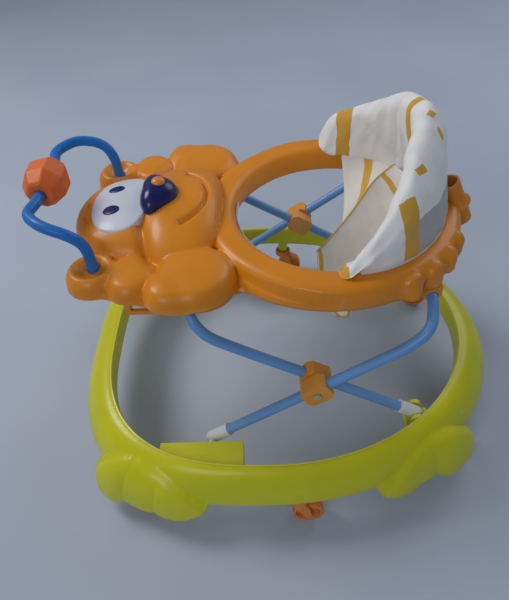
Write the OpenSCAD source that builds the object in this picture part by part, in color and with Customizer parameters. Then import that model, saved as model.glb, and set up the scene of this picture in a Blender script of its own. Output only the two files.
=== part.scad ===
// Baby walker with a bear-shaped play tray: a ring base on six swivel casters,
// a crossed pair of steel tube frames that fold, a tray with a padded seat, and a toy bar.
// The head of the bear faces -Y, the floor is z = 0 and +X is the child's left hand.

/* [Base ring] */
// Half width inside the base ring, at its top edge
base_in_w = 288; // [270:1:300]
// Half width over the foot of the base ring
base_out_w = 323; // [310:1:330]
// Front reach of the inner edge, from the base's wide line
base_in_front = 286; // [260:1:290]
// Front reach of the outer edge
base_out_front = 343; // [325:1:350]
// Rear reach of the inner edge
base_in_rear = 334; // [320:1:340]
// Rear reach of the outer edge
base_out_rear = 394; // [385:1:400]
// Place of the base's wide line along Y
base_mid_y = -30; // [-40:1:-20]
// Top of the base rail
rail_top = 136; // [130:1:140]
// Lower edge of the base rail
rail_foot = 73; // [68:1:80]
// Lower edge of the corner lobes
lobe_foot = 35; // [34:1:50]
// How far a corner lobe stands out
lobe_out = 34; // [15:1:36]
// Wall thickness of the base ring
base_wall = 4; // [3:0.5:5]

/* [Casters] */
// Wheel diameter
wheel_d = 50; // [44:1:52]
// Wheel width
wheel_w = 22; // [18:1:24]
// Distance from the swivel line to the axle
caster_trail = 15; // [10:1:16]
// Radius of the caster stem
stem_r = 5; // [4:0.5:6]
// Radius of the wheel axle
axle_r = 3; // [2.5:0.5:4]

/* [Folding frames] */
// Radius of the frame tubes
tube_r = 8; // [7:0.5:8]
// Distance of the inner tubes from the middle
inner_x = 194; // [190:1:196]
// Distance of the outer tubes from the middle
outer_x = 218; // [216:1:220]
// Height of the crossing pivot
cross_z = 222.5; // [220:0.5:225]
// Height of the tray hinge
hinge_z = 352; // [350:1:353]

/* [Tray] */
// Radius of the seat hole
hole_r = 154; // [145:1:156]
// Radius of the ring round the seat hole
ring_r = 202; // [196:1:206]
// Underside of the tray
tray_foot = 362; // [362:1:364]
// Top of the tray ring
tray_top_z = 405; // [400:1:412]
// Wall thickness of the tray shell
tray_wall = 3.5; // [2.5:0.5:4]
// Radius of the bore in the rear accessory socket
socket_bore = 13; // [11:0.5:14]
// Lean of the rear accessory socket
socket_lean = 25; // [15:1:28]

/* [Toys] */
// Radius of the toy bar
bar_r = 7.5; // [6:0.5:8]
// Length of the bead
bead_len = 70; // [50:1:74]
// Radius of the bead
bead_r = 30; // [22:1:32]
// Radius of the round button on the nose
button_r = 8; // [6:0.5:10]

/* [Seat] */
// Radius inside the padded back
pad_in = 122; // [115:1:130]
// Radius outside the padded back
pad_out = 148; // [140:1:150]
// Height of the padded back at the rear
back_top = 540; // [500:1:560]
// Lowest level of the seat sling
sling_low = 215; // [205:1:240]
// Width of the seat sling between the legs
sling_w = 116; // [90:1:130]

/* [Hidden] */
$fn = 64;

// Running clearance round a pin that turns, and around a piece that is only pushed in
run_gap = 0.05;
fit_gap = 0.2;
// Brings the middle of the outer box over the origin
row_shift = 10.5;
// Directions in plan of the two sides: the child's left is +X
left = 1;
right = -1;

// Swivel lines of the casters
caster_front = [266, -246];
caster_mid = [304, 2];
caster_rear = [182, 270];
socket_top = 109;

// Side view points [y, z] of the folding frames: rear foot, front foot, crossing, tray hinge, slide bar
rear_foot = [198, 122];
front_foot = [-134, 104];
crossing = [32, cross_z];
tray_hinge = [193, hinge_z];
slide_bar = [-148, hinge_z];
inner_slope = atan2(cross_z - rear_foot[1], rear_foot[0] - crossing[0]);
outer_slope = atan2(cross_z - front_foot[1], crossing[0] - front_foot[0]);
foot_r = 10.5;
bush_r = 10;
slider_r = 6;

// Points at the place y on the two straight tubes, which run from their feet through the crossing
function on_inner(y) = [inner_x, y, rear_foot[1] + (rear_foot[0] - y) * tan(inner_slope)];
function on_outer(y) = [outer_x, y, front_foot[1] + (y - front_foot[0]) * tan(outer_slope)];

// Half paths of the tubes, from the foot inwards to the middle, on the +X side
inner_half = [on_inner(rear_foot[0] - 6), on_inner(-72), [inner_x, -126, 320],
    [182, slide_bar[0], hinge_z], [0, slide_bar[0], hinge_z]];
outer_half = [on_outer(front_foot[0] + 6), on_outer(156), [212, 184, 338], [170, tray_hinge[0], hinge_z],
    [126, tray_hinge[0], hinge_z], [64, 238, 349], [0, 243, 349]];
bar_half = [[121, -282, 398], [121, -282, 432], [130, -300, 454], [124, -338, 464],
    [90, -368, 461], [52, -358, 460], [0, -358, 460]];

// Places of the tray's features
ring_y = 58;
hole_y = 72;
ear_at = [128, -282];
eye_at = [27.5, -265];
nose_at = [0, -190, 428];
button_z = 451;
bar_foot = [121, -282];
// Swellings of the tray, each [centre, radius, rise]: the muzzle and the forehead
domes = [[[0, -158], 84, 19], [[0, -262], 46, 15]];
socket_mouth = [0, 239, 432];
socket_len = 76;
socket_r = 17;
screw_r = 3;

function sgn_pow(v, e) = sign(v) * pow(abs(v), e);

// A closed outline, square-shouldered at the front and elliptical at the rear
function plan(t, w, front, rear) =
    let (e = sin(t) < 0 ? 2 / 2.8 : 1, reach = sin(t) < 0 ? front : rear)
    [w * sgn_pow(cos(t), e), base_mid_y + reach * sgn_pow(sin(t), e)];

// How strongly the front and rear corner lobes swell at the angle t
function lobe(t) =
    let (a = asin(sin(t)))
    min(1, exp(-pow((a + 41) / 8, 2)) + 0.7 * exp(-pow((a + 22) / 8, 2)) + exp(-pow((a - 43) / 14, 2)));

function unit(v) = v / norm(v);

// Section of the hollow rail at the angle t, from the inner lip over the top to the outer foot and back
function rail_section(t) =
    let (
        inner = plan(t, base_in_w, base_in_front, base_in_rear),
        outer = plan(t, base_out_w, base_out_front, base_out_rear),
        out = unit(outer - inner),
        swell = lobe(t),
        width = norm(outer - inner) + lobe_out * swell,
        foot = rail_foot - (rail_foot - lobe_foot) * swell,
        d = base_wall,
        profile = [[0, 98], [0, 131], [0.1 * width, rail_top], [0.3 * width, rail_top - 2],
            [0.52 * width, rail_top - 10], [0.74 * width, rail_top - 24], [0.91 * width, rail_top - 44],
            [width, foot + 5], [width, foot], [width - d, foot], [0.91 * width - d, rail_top - 47],
            [0.74 * width - d, rail_top - 28], [0.52 * width - 2, rail_top - 15],
            [0.3 * width, rail_top - 6], [d, rail_top - 7], [d, 98]]
    )
    [for (q = profile) [inner[0] + out[0] * q[0], inner[1] + out[1] * q[0], q[1]]];

function tangent(p, i) = unit(p[min(i + 1, len(p) - 1)] - p[max(i - 1, 0)]);

// Side directions carried along the path p without twist
function side_dirs(p, i, s) = i == len(p) ? [] :
    let (t = tangent(p, i), n = unit(s - (s * t) * t))
    concat([n], side_dirs(p, i + 1, n));

// A path with its corners rounded, starting the bend at the distance d from each corner
function round_path(p, d) = concat([p[0]],
    [for (i = [1 : len(p) - 2])
        let (
            reach = min(d, 0.48 * norm(p[i] - p[i - 1]), 0.48 * norm(p[i + 1] - p[i])),
            a = p[i] + unit(p[i - 1] - p[i]) * reach,
            c = p[i] + unit(p[i + 1] - p[i]) * reach
        )
        for (k = [0 : 4]) let (u = k / 4) (1 - u) * (1 - u) * a + 2 * u * (1 - u) * p[i] + u * u * c],
    [p[len(p) - 1]]);

// A half path and its mirror image as one path
function both_sides(half) = concat(half,
    [for (i = [len(half) - 2 : -1 : 0]) [-half[i][0], half[i][1], half[i][2]]]);

module swept_rod(p, r, n = 12) {
    side = side_dirs(p, 0, [0.3, 0.4, 1]);
    points = [for (i = [0 : len(p) - 1]) for (k = [0 : n - 1])
        p[i] + r * (cos(360 * k / n) * side[i] + sin(360 * k / n) * cross(tangent(p, i), side[i]))];
    last = (len(p) - 1) * n;
    wall = [for (i = [0 : len(p) - 2]) for (k = [0 : n - 1])
        let (a = i * n + k, b = i * n + (k + 1) % n) each [[a, b + n, b], [a, a + n, b + n]]];
    polyhedron(points, concat(wall, [[for (k = [0 : n - 1]) k]],
        [[for (k = [n - 1 : -1 : 0]) last + k]]));
}

// A cylinder along X, centred on the side view point at
module along_x(x0, x1, at, r) {
    translate([x0, at[0], at[1]]) rotate([0, 90, 0]) cylinder(r = r, h = x1 - x0);
}

// Puts a left-hand piece on the side s
module on_side(s) {
    if (s == left) children();
    else mirror([1, 0, 0]) children();
}

module base_ring() {
    stations = 128;
    rings = [for (i = [0 : stations - 1]) rail_section(360 * i / stations)];
    n = len(rings[0]);
    faces = [for (i = [0 : stations - 1]) for (k = [0 : n - 1])
        let (a = i * n + k, b = i * n + (k + 1) % n,
            c = ((i + 1) % stations) * n + k, e = ((i + 1) % stations) * n + (k + 1) % n)
        each [[a, b, e], [a, e, c]]];
    color("yellowgreen") polyhedron([for (r = rings) each r], faces);
}

// Track box inside the rail: the front foot slides in its slot as the walker folds
module foot_track(s) {
    color("yellowgreen") on_side(s) difference() {
        translate([0, 0, 88]) linear_extrude(36)
            polygon([[240, -214], [240, -82], [287, -82], [285, -150], [268, -208], [264, -214]]);
        translate([239, -205, 97]) cube([24, 79, 15.5]);
    }
}

module rear_bracket(s) {
    color("yellowgreen") on_side(s) difference() {
        union() {
            translate([176, 182, 94]) cube([40, 38, 14]);
            for (x = [176, 205.5])
                hull() {
                    translate([x, 188, 94]) cube([7, 24, 14]);
                    along_x(x, x + 7, rear_foot, 11, $fn = 32);
                }
        }
        along_x(170, 220, rear_foot, 4 + run_gap);
    }
}

module rear_foot_pin(s) {
    color("silver") on_side(s) along_x(175, 213.5, rear_foot, 4);
}

module caster_sockets() {
    color("yellowgreen") for (s = [left, right]) for (at = [caster_front, caster_mid, caster_rear])
        translate([s * at[0], at[1], 0]) difference() {
            translate([0, 0, 70]) cylinder(r = 10.5, h = socket_top - 70);
            translate([0, 0, 69]) cylinder(r = stem_r + run_gap, h = socket_top - 73);
        }
}

module inner_tube() {
    color("lightskyblue") swept_rod(round_path(both_sides(inner_half), 24), tube_r);
}

module outer_tube() {
    color("lightskyblue") swept_rod(round_path(both_sides(outer_half), 18), tube_r);
}

// White cap on the end of a tube: a round end and a sleeve that looks up along the tube
module foot_cap(x, at, slope, pin) {
    color("white") difference() {
        union() {
            translate([x, at[0], at[1]]) sphere(r = foot_r);
            translate([x, at[0], at[1]]) rotate([slope, 0, 0]) rotate([-90, 0, 0])
                cylinder(r = foot_r, h = 36);
            if (pin > 0) along_x(x, x + pin, at, slider_r);
        }
        translate([x, at[0], at[1]]) rotate([slope, 0, 0]) rotate([-90, 0, 0])
            translate([0, 0, 6]) cylinder(r = tube_r + fit_gap, h = 40);
        if (pin == 0) along_x(x - 20, x + 20, at, 4 + run_gap);
    }
}

module inner_foot_cap(s) {
    on_side(s) foot_cap(inner_x, rear_foot, 180 - inner_slope, 0);
}

module outer_foot_cap(s) {
    on_side(s) foot_cap(outer_x, front_foot, outer_slope, 41);
}

// Half of the crossing pivot, clamped on one tube between x0 and x1
module pivot_block(x, x0, x1, slope) {
    translate([0, crossing[0], crossing[1]]) rotate([slope, 0, 0]) difference() {
        translate([x0, -22, -18]) cube([x1 - x0, 44, 36]);
        translate([x, -30, 0]) rotate([-90, 0, 0]) cylinder(r = tube_r + fit_gap, h = 60);
        for (c = [-1, 1]) for (y = [-22, 22]) translate([x0 - 1, y, c * 18]) rotate([45, 0, 0])
            translate([0, -5, -5]) cube([x1 - x0 + 2, 10, 10]);
    }
}

module inner_pivot_block(s) {
    color("orange") on_side(s) {
        pivot_block(inner_x, 182, 205.5, -inner_slope);
        along_x(205, 209.5, crossing, 12);
    }
}

module outer_pivot_block(s) {
    color("orange") on_side(s) difference() {
        pivot_block(outer_x, 206.5, 231, outer_slope);
        along_x(205, 210.2, crossing, 12 + run_gap);
        along_x(226, 232, crossing, screw_r + run_gap);
    }
}

module pivot_screws() {
    color("silver") for (s = [left, right]) on_side(s) {
        along_x(226.8, 231, crossing, screw_r);
        along_x(231, 234, crossing, 6);
    }
}

module hinge_bush(s) {
    color("white") on_side(s) difference() {
        along_x(134, 162, tray_hinge, bush_r);
        along_x(133, 163, tray_hinge, tube_r + fit_gap);
    }
}

// Plan of the tray, grown by g: ring, head, ears and the two paws on each side
module tray_plan(g) {
    translate([0, ring_y]) circle(r = ring_r + g);
    translate([0, -226]) circle(r = 104 + g);
    translate([-135 - g, -230]) square([270 + 2 * g, 150]);
    for (s = [left, right]) {
        translate([s * ear_at[0], ear_at[1]]) circle(r = 39 + g);
        translate([s * 147, -225]) circle(r = 32 + g);
        translate([s * 146, -138]) circle(r = 59 + g);
    }
}

// Straight, leaning cylinder of the rear accessory socket
module socket_shaft(r, z0, z1) {
    translate(socket_mouth) rotate([180 + socket_lean, 0, 0]) translate([0, 0, z0])
        cylinder(r = r, h = z1 - z0);
}

// A round swelling on the tray: a shallow shell of revolution, closed down to its rim
module dome(at, r, rise) {
    ball = (r * r + rise * rise) / (2 * rise);
    edge = asin(r / ball);
    arc = [for (i = [0 : 12]) let (a = edge * i / 12) ball * [sin(a), cos(a)] + [0, rise - ball]];
    translate([at[0], at[1], tray_top_z]) rotate_extrude()
        polygon(concat(arc, [[r, -tray_wall]], [for (i = [12 : -1 : 0]) arc[i] - [0, tray_wall]]));
}

module tray_top() {
    skirt_z = tray_foot + 4.3;
    color("orange") difference() {
        union() {
            translate([0, 0, skirt_z]) linear_extrude(tray_top_z - skirt_z) difference() {
                tray_plan(0);
                tray_plan(-tray_wall);
            }
            translate([0, 0, tray_top_z - tray_wall]) linear_extrude(tray_wall) difference() {
                tray_plan(-tray_wall / 2);
                for (d = domes) translate(d[0]) circle(r = d[1] - 1);
            }
            for (d = domes) dome(d[0], d[1], d[2]);
            translate([0, hole_y, skirt_z]) cylinder(r = hole_r + tray_wall, h = tray_top_z - skirt_z - 1);
        }
        translate([0, hole_y, tray_foot - 5]) cylinder(r = hole_r, h = 60);
        socket_shaft(socket_r + fit_gap, -10, 120);
        translate([nose_at[0], nose_at[1], 380]) cylinder(r = 20, h = 60);
        for (s = [left, right]) translate([s * bar_foot[0], bar_foot[1], 380])
            cylinder(r = 11 + fit_gap, h = 60);
    }
}

module tray_bottom() {
    color("orange") difference() {
        translate([0, 0, tray_foot]) linear_extrude(4) tray_plan(-1);
        translate([0, hole_y, tray_foot - 5]) cylinder(r = hole_r, h = 60);
        socket_shaft(socket_r + fit_gap, -10, 120);
        for (p = screw_places) translate([p[0], p[1], tray_foot - 1]) cylinder(r = screw_r + run_gap, h = 10);
    }
}

screw_places = [for (s = [left, right]) each [[s * 178, 50], [s * 140, -180], [s * 60, -290]]];

module tray_screws() {
    color("silver") for (p = screw_places) translate([p[0], p[1], 0]) {
        translate([0, 0, tray_foot - 2.5]) cylinder(r = 5.5, h = 2.5);
        translate([0, 0, tray_foot - 0.5]) cylinder(r = screw_r, h = 4.5);
    }
}

module hinge_saddle(s) {
    color("orange") on_side(s) difference() {
        union() {
            translate([139, tray_hinge[0] - 15, hinge_z - 6]) cube([17, 30, tray_foot - hinge_z + 6]);
            along_x(139, 156, tray_hinge, 14);
        }
        along_x(130, 170, tray_hinge, bush_r + run_gap);
        translate([130, 160, tray_foot]) cube([40, 60, 20]);
    }
}

// Plate with a long slot: the cross tube of the inner frame slides in it
module height_rack(s) {
    color("orange") on_side(s) difference() {
        translate([148, -241, 327]) cube([6, 112, tray_foot - 327]);
        translate([140, -233, 335]) cube([20, 95, 26]);
    }
}

module face_plate() {
    color("ghostwhite") translate([0, 0, 422.6]) linear_extrude(2.4)
        for (s = [left, right]) translate([s * 22, -250]) circle(r = 33);
}

module eye(s) {
    color("navy") translate([s * eye_at[0], eye_at[1], 425]) cylinder(r = 9.5, h = 3);
}

// Nose: a fat round knob with a well for the button, on a short shank
module nose() {
    color("mediumblue") translate(nose_at) difference() {
        union() {
            intersection() {
                sphere(r = 29);
                translate([0, 0, -2.8]) cylinder(r = 40, h = 22.5);
            }
            translate([0, 0, -22]) cylinder(r = 18, h = 20);
        }
        translate([0, 0, 12]) cylinder(r = button_r + 0.3, h = 30);
    }
}

module nose_button() {
    color("orange") translate([nose_at[0], nose_at[1], nose_at[2] + 15.5]) {
        cylinder(r = button_r, h = 6);
        translate([0, 0, 6]) intersection() {
            translate([0, 0, -9.5]) sphere(r = 12.4);
            cylinder(r = button_r, h = 5);
        }
    }
}

module toy_bar() {
    color("dodgerblue") swept_rod(round_path(both_sides(bar_half), 18), bar_r);
}

module bar_sockets() {
    color("dodgerblue") for (s = [left, right]) translate([s * bar_foot[0], bar_foot[1], 384]) difference() {
        cylinder(r = 11, h = 24);
        translate([0, 0, 10]) cylinder(r = bar_r + fit_gap, h = 20);
    }
}

module bead() {
    color("orangered") difference() {
        translate([-bead_len / 2, bar_half[6][1], bar_half[6][2]]) rotate([0, 90, 0]) union() {
            cylinder(r1 = 21, r2 = bead_r, h = 12);
            translate([0, 0, 12]) cylinder(r = bead_r, h = bead_len - 24);
            translate([0, 0, bead_len - 12]) cylinder(r1 = bead_r, r2 = 21, h = 12);
        }
        along_x(-50, 50, [bar_half[6][1], bar_half[6][2]], bar_r + 0.1);
    }
}

module rear_socket() {
    color("orange") difference() {
        socket_shaft(socket_r, 0, socket_len);
        socket_shaft(socket_bore, -5, socket_len + 5);
    }
}

// Padded back: a tall horseshoe inside the rear of the hole, lower towards its two ends
module seat_back() {
    color("ivory") intersection() {
        translate([0, hole_y, 300]) rotate([0, 0, -8]) rotate_extrude(angle = 196)
            translate([pad_in, 0]) square([pad_out - pad_in, back_top - 300]);
        translate([-300, hole_y + 149, back_top]) rotate([34, 0, 0]) translate([0, -500, -400])
            cube([600, 600, 400]);
    }
}

// Side view of the sling, from its free front edge between the legs up to the back, as [y, z]
sling_line = [[40, 250], [66, 222], [100, sling_low], [150, 226], [178, 262], [184, 296]];
function sling_normal(i) =
    let (a = sling_line[max(i - 1, 0)], b = sling_line[min(i + 1, len(sling_line) - 1)], t = unit(b - a))
    [-t[1], t[0]];

module seat_sling() {
    inner = [for (i = [0 : len(sling_line) - 1]) sling_line[i] + 4 * sling_normal(i)];
    outline = concat(sling_line, [for (i = [len(inner) - 1 : -1 : 0]) inner[i]]);
    color("whitesmoke") translate([-sling_w / 2, 0, 0]) rotate([90, 0, 90]) linear_extrude(sling_w)
        polygon(outline);
}

// Fork: stem, crown and two cheeks that hold the axle
module fork(s, at) {
    color("orange") translate([s * at[0], at[1], 0]) difference() {
        union() {
            translate([0, 0, 60]) cylinder(r = stem_r, h = socket_top - 66);
            translate([0, 0, 56]) cylinder(r = 17, h = 12);
            for (c = [-1, 1]) hull() {
                translate([c * 14.5 - 2, -8, 56]) cube([4, 16, 8]);
                translate([c * 14.5 - 2, caster_trail, wheel_d / 2]) rotate([0, 90, 0])
                    cylinder(r = 9, h = 4, $fn = 32);
            }
        }
        along_x(-20, 20, [caster_trail, wheel_d / 2], axle_r + run_gap);
    }
}

module axle(s, at) {
    color("silver") translate([s * at[0], at[1], 0])
        along_x(-17.5, 17.5, [caster_trail, wheel_d / 2], axle_r);
}

module wheel(s, at) {
    color("darkorange") translate([s * at[0], at[1] + caster_trail, wheel_d / 2]) rotate([0, 90, 0])
        difference() {
            cylinder(d = wheel_d, h = wheel_w, center = true);
            cylinder(r = axle_r + run_gap, h = wheel_w + 2, center = true);
            for (x = [-wheel_w, 3]) translate([0, 0, x]) difference() {
                cylinder(r = 19, h = wheel_w - 3);
                translate([0, 0, -1]) cylinder(r = 8, h = wheel_w);
            }
        }
}

module placed() {
    translate([0, row_shift, 0]) children();
}

placed() base_ring();
placed() foot_track(left);  // foot_track_left
placed() foot_track(right);  // foot_track_right
placed() rear_bracket(left);  // rear_bracket_left
placed() rear_bracket(right);  // rear_bracket_right
placed() rear_foot_pin(left);  // rear_foot_pin_left
placed() rear_foot_pin(right);  // rear_foot_pin_right
placed() caster_sockets();
placed() inner_tube();
placed() inner_foot_cap(left);  // inner_foot_cap_left
placed() inner_foot_cap(right);  // inner_foot_cap_right
placed() inner_pivot_block(left);  // inner_pivot_block_left
placed() inner_pivot_block(right);  // inner_pivot_block_right
placed() outer_tube();
placed() outer_foot_cap(left);  // outer_foot_cap_left
placed() outer_foot_cap(right);  // outer_foot_cap_right
placed() outer_pivot_block(left);  // outer_pivot_block_left
placed() outer_pivot_block(right);  // outer_pivot_block_right
placed() pivot_screws();
placed() hinge_bush(left);  // hinge_bush_left
placed() hinge_bush(right);  // hinge_bush_right
placed() tray_top();
placed() tray_bottom();
placed() hinge_saddle(left);  // hinge_saddle_left
placed() hinge_saddle(right);  // hinge_saddle_right
placed() height_rack(left);  // height_rack_left
placed() height_rack(right);  // height_rack_right
placed() tray_screws();
placed() face_plate();
placed() eye(left);  // eye_left
placed() eye(right);  // eye_right
placed() nose();
placed() nose_button();
placed() toy_bar();
placed() bar_sockets();
placed() bead();
placed() rear_socket();
placed() seat_back();
placed() seat_sling();
placed() fork(left, caster_front);  // fork_front_left
placed() fork(right, caster_front);  // fork_front_right
placed() fork(left, caster_mid);  // fork_mid_left
placed() fork(right, caster_mid);  // fork_mid_right
placed() fork(left, caster_rear);  // fork_rear_left
placed() fork(right, caster_rear);  // fork_rear_right
placed() axle(left, caster_front);  // axle_front_left
placed() axle(right, caster_front);  // axle_front_right
placed() axle(left, caster_mid);  // axle_mid_left
placed() axle(right, caster_mid);  // axle_mid_right
placed() axle(left, caster_rear);  // axle_rear_left
placed() axle(right, caster_rear);  // axle_rear_right
placed() wheel(left, caster_front);  // wheel_front_left
placed() wheel(right, caster_front);  // wheel_front_right
placed() wheel(left, caster_mid);  // wheel_mid_left
placed() wheel(right, caster_mid);  // wheel_mid_right
placed() wheel(left, caster_rear);  // wheel_rear_left
placed() wheel(right, caster_rear);  // wheel_rear_right
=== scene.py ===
"""The looks of the baby walker: moulded shells, tubes, casters, toys and the fabric seat.

Lengths are in millimetres in the walker's own design axes (-Y is the bear's side, the floor is z = 0,
+X is the child's left), and to_row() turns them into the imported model's metres.
"""
import math

import bmesh
import bpy
import numpy as np
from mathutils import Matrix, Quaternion, Vector


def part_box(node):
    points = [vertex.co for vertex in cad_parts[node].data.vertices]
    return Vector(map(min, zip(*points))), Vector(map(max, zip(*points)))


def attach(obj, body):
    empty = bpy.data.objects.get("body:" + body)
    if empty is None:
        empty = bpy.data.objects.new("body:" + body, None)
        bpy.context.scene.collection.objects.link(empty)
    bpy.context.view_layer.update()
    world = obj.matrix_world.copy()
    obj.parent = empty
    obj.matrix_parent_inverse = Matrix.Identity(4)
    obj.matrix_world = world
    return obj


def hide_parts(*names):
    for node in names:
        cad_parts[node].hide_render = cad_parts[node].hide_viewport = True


MM = 0.001
SIDES = {"left": 1, "right": -1}
CASTERS = {"front": (266, -246), "mid": (304, 2), "rear": (182, 270)}

# Base ring
BASE_IN = (288, 286, 334)  # inner edge: half width, front reach, rear reach
BASE_OUT = (323, 343, 394)
BASE_MID_Y = -30
RAIL_TOP, RAIL_FOOT, LOBE_FOOT, LOBE_OUT = 136, 73, 35, 34
SHOULDER = 2.8  # how square the front of the ring is

# Folding frames, in side view [y, z]
TUBE_R = 8
INNER_X, OUTER_X = 194, 218
REAR_FOOT, FRONT_FOOT = (198, 122), (-134, 104)
CROSSING = (32, 222.5)
HINGE = (193, 352)
SLIDE_BAR_Y = -148

# Tray
HOLE_AT, HOLE_R = (0, 72), 154
RING_AT, RING_R = (0, 58), 202
TRAY_TOP, TRAY_SEAM = 405, 366.3
EAR_AT = (128, -282)
BIG_PAW = ((146, -136), 58), ((173, -171), 33), 14  # two circles and how far they blend
SMALL_PAW = ((148, -226), 34), ((132, -222), 40), 8
HEAD_AT, HEAD_R = (0, -226), 104
CROWN_AT, CROWN_R = (0, -228), 107
MUZZLE_AT, MUZZLE_HALF = (0, -160), (129, 58)
FACE_AT, FACE_HALF = (0, -254), (69, 45)
EYE_AT, EYE_HALF = (27.5, -265), (9.6, 13)
NOSE_AT = (0, -197)
SOCKET_MOUTH, SOCKET_LEAN = (0, 239, 432), math.radians(25)

# Toy bar and bead
BAR_R = 8
BAR_HALF = [(119, -282, 388), (119, -283, 430), (124, -300, 452), (117, -337, 463), (86, -366, 461),
            (52, -358, 460), (0, -358, 460)]
BEAD_AT, BEAD_R, BEAD_HALF = (0, -358, 460), 33, 37

# Caster
WHEEL_D, WHEEL_W, TRAIL = 50, 22, 15

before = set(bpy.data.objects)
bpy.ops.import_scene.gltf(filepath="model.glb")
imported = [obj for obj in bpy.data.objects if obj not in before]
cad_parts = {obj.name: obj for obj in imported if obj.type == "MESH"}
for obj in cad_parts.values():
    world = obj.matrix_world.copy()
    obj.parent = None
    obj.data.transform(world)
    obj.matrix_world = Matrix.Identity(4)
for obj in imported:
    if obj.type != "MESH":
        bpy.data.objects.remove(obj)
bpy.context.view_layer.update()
ROW_SHIFT = 1000 * (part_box("bead")[0].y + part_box("bead")[1].y) / 2 - BEAD_AT[1]


def to_row(points):
    """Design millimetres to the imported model's metres."""
    return (np.asarray(points, float).reshape(-1, 3) + (0, ROW_SHIFT, 0)) * MM


# ---------------------------------------------------------------- materials

def new_material(name):
    """An empty node material and helpers to add nodes and links."""
    material = bpy.data.materials.new(name)
    material.use_nodes = True
    tree = material.node_tree
    shader = tree.nodes["Principled BSDF"]

    def add(kind, **values):
        node = tree.nodes.new(kind)
        for key, value in values.items():
            if key in node.inputs:
                node.inputs[key].default_value = value
            else:
                setattr(node, key, value)
        return node

    return material, shader, add, tree.links.new


def ramp(add, link, source, stops):
    """A colour ramp over source with the stops [(place, colour), ...]."""
    node = add("ShaderNodeValToRGB")
    elements = node.color_ramp.elements
    elements[0].position, elements[0].color = stops[0][0], (*stops[0][1], 1)
    elements[1].position, elements[1].color = stops[-1][0], (*stops[-1][1], 1)
    for place, colour in stops[1:-1]:
        elements.new(place).color = (*colour, 1)
    link(source, node.inputs["Fac"])
    return node.outputs["Color"]


def noise(add, link, place, **values):
    """A noise texture node that is read at place."""
    node = add("ShaderNodeTexNoise", **values)
    link(place, node.inputs["Vector"])
    return node


def tint(add, link, factor, under, colour):
    """The colour laid over what is under it, as far as factor says."""
    mix = add("ShaderNodeMix", data_type="RGBA")
    link(factor, mix.inputs["Factor"])
    link(under, mix.inputs["A"])
    mix.inputs["B"].default_value = (*colour, 1)
    return mix.outputs["Result"]


def add_bump(add, link, height, strength, distance):
    """A bump node over height."""
    node = add("ShaderNodeBump", Strength=strength, Distance=distance)
    link(height, node.inputs["Height"])
    return node


def roughen(add, link, source, shader, low, high, span=(0.0, 1.0)):
    """The shader's roughness runs from low to high as source runs over span."""
    limits = {"From Min": span[0], "From Max": span[1], "To Min": low, "To Max": high}
    gloss = add("ShaderNodeMapRange", **limits)
    link(source, gloss.inputs["Value"])
    link(gloss.outputs["Result"], shader.inputs["Roughness"])


def shade(colour, factor):
    """The colour made darker or paler."""
    return tuple(min(1.0, c * factor) for c in colour)


def moulded_plastic(name, colour, roughness=0.24, coat=0.3, grain=0.03, deep=0.86, ripple_scale=48.0):
    """Glossy moulded plastic: soft colour drift, pale rubbed edges, faint ripple and fine scuffs."""
    material, shader, add, link = new_material(name)
    place = add("ShaderNodeTexCoord").outputs["Object"]
    drift = noise(add, link, place, Scale=9.0, Detail=2.0)
    tone = ramp(add, link, drift.outputs["Fac"], [(0.35, shade(colour, deep)), (0.65, colour)])
    edge = add("ShaderNodeNewGeometry").outputs["Pointiness"]
    worn = ramp(add, link, edge, [(0.515, (0, 0, 0)), (0.6, (0.35, 0.35, 0.35))])
    link(tint(add, link, worn, tone, [0.75 * c + 0.25 for c in colour]), shader.inputs["Base Color"])
    scuff = noise(add, link, place, Scale=260.0, Detail=6.0, Roughness=0.7)
    roughen(add, link, scuff.outputs["Fac"], shader, roughness, roughness + 0.14, (0.35, 0.75))
    ripple = noise(add, link, place, Scale=ripple_scale, Detail=3.0)
    bump = add_bump(add, link, ripple.outputs["Fac"], grain, 0.002)
    link(bump.outputs["Normal"], shader.inputs["Normal"])
    for socket, value in (("Coat Weight", coat), ("Coat Roughness", 0.12), ("Specular IOR Level", 0.38)):
        shader.inputs[socket].default_value = value
    return material


def painted_tube(name, colour):
    """Powder coat on steel: fine orange-peel bump, colour drift and small dull rubs."""
    return moulded_plastic(name, colour, roughness=0.3, coat=0.25, grain=0.12, deep=0.92, ripple_scale=900.0)


def brushed_steel(name):
    """Zinc-plated steel with fine streaks and dull spots."""
    material, shader, add, link = new_material(name)
    place = add("ShaderNodeTexCoord").outputs["Object"]
    stretch = add("ShaderNodeMapping")
    stretch.inputs["Scale"].default_value = (90, 1400, 1400)
    link(place, stretch.inputs["Vector"])
    streak = noise(add, link, stretch.outputs["Vector"], Scale=1.0, Detail=4.0)
    link(ramp(add, link, streak.outputs["Fac"], [(0.3, (0.52, 0.53, 0.54)), (0.7, (0.76, 0.76, 0.75))]),
         shader.inputs["Base Color"])
    roughen(add, link, streak.outputs["Fac"], shader, 0.22, 0.42)
    bump = add_bump(add, link, streak.outputs["Fac"], 0.1, 0.0005)
    link(bump.outputs["Normal"], shader.inputs["Normal"])
    shader.inputs["Metallic"].default_value = 1.0
    return material


THREAD_PITCH = 0.0011  # metres from thread to thread


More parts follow.
